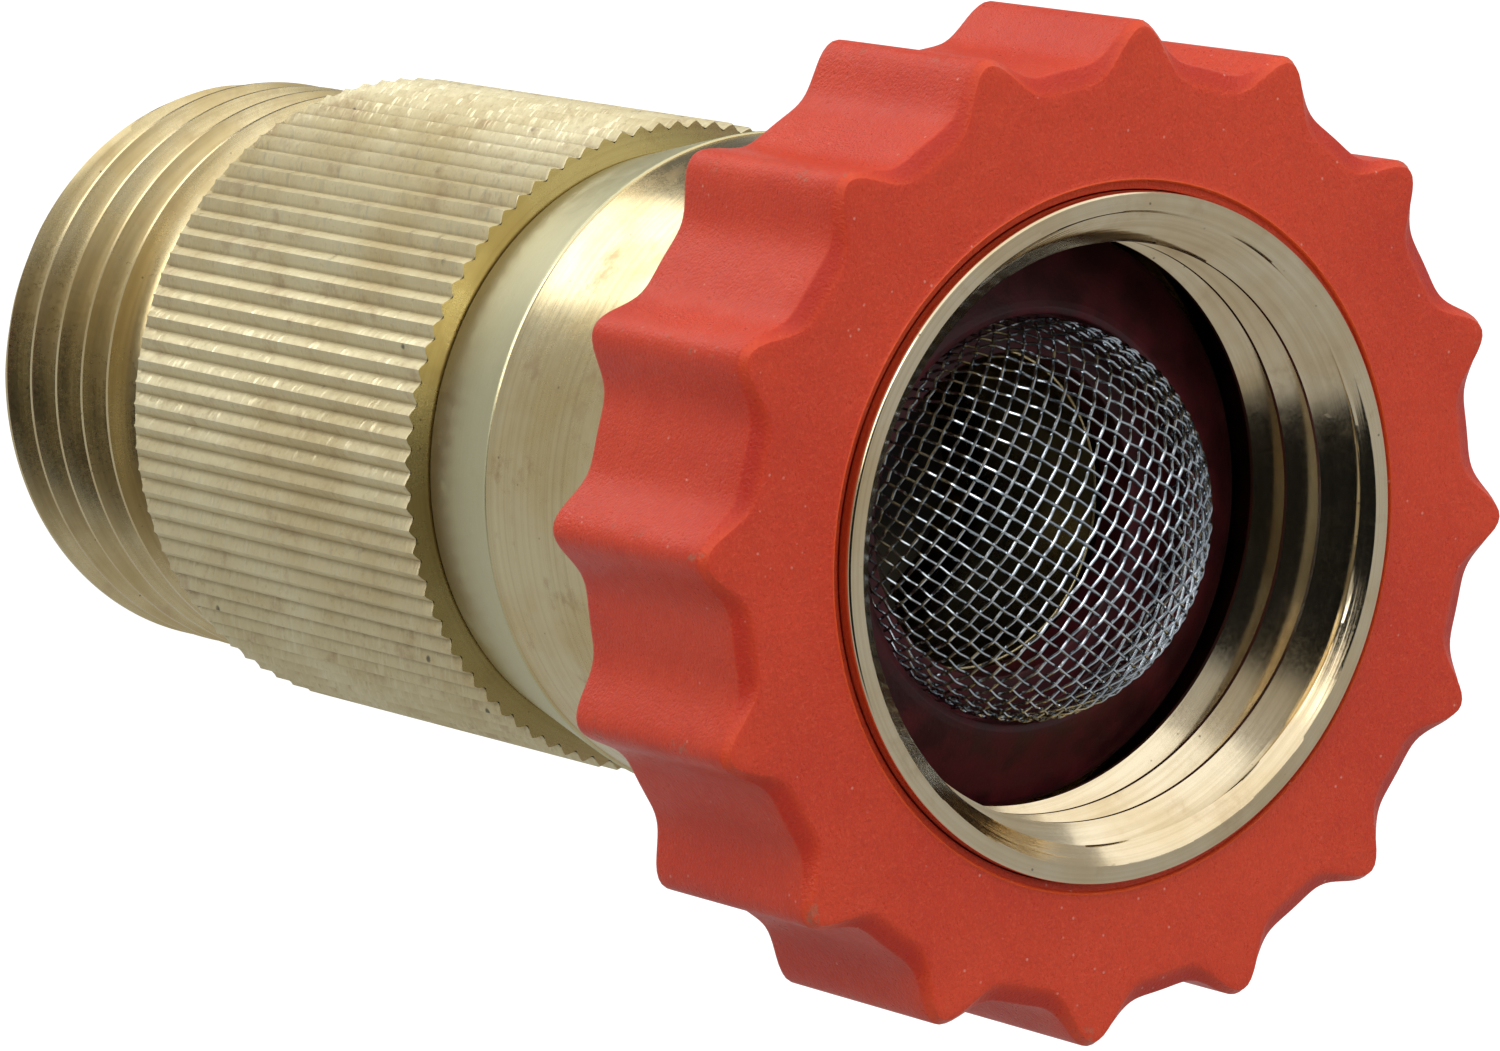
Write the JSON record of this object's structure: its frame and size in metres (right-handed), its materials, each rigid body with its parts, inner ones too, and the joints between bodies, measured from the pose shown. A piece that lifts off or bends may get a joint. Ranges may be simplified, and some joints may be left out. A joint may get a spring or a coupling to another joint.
{
  "type": "water pressure regulator",
  "caption": "Inline hose pressure regulator: knurled brass body, male outlet thread, swivelling female inlet nut with a fluted plastic grip, woven dome filter and sprung piston inside.",
  "frame": {"origin": "centre of the outlet's end face, which the part stands on", "axes": "+Z along the flow axis from the outlet towards the inlet nut; +X through the middle of one grip lobe"},
  "size_m": [0.043, 0.043, 0.0667],
  "materials": {
    "brass": "pale yellow brass, satin turned surface with dulled patches",
    "grip_plastic": "satin red-orange moulded plastic with fine speckle",
    "filter_rubber": "dark maroon moulded rubber",
    "seal_rubber": "black nitrile rubber",
    "screen_steel": "bright drawn stainless wire, plain weave",
    "spring_steel": "drawn stainless spring wire and stamped washers",
    "seat_plastic": "black acetal"
  },
  "bodies": {
    "housing": {"outlet_body": "brass", "inlet_body": "brass", "body_seal_ring": "seal_rubber", "stem_seal_ring": "seal_rubber", "stem_seal_retainer": "spring_steel", "spring_shim": "spring_steel", "regulator_spring": "spring_steel", "seat_disc": "seal_rubber", "seat_holder": "seat_plastic", "seat_screw": "spring_steel", "seat_screw_washer": "spring_steel", "swivel_tailpiece": "brass", "tailpiece_seal_ring": "seal_rubber", "filter_washer": "filter_rubber", "filter_screen": "screen_steel"},
    "swivel": {"swivel_nut": "brass", "grip_collar": "grip_plastic"},
    "piston_assembly": {"piston": "brass", "piston_seal_ring": "seal_rubber", "spring_washer": "spring_steel"}
  },
  "joints": [
    {"name": "nut_swivel", "type": "hinge", "parent": "housing", "child": "swivel", "pos_m": [0, 0, 0.0549], "axis": [0, 0, 1], "continuous": true},
    {"name": "piston_slide", "type": "slide", "parent": "housing", "child": "piston_assembly", "axis": [0, 0, 1], "range_m": [0, 0.002], "stiffness_N_per_m": 12000, "springref_m": -0.0068, "deforming": ["regulator_spring"]}
  ]
}
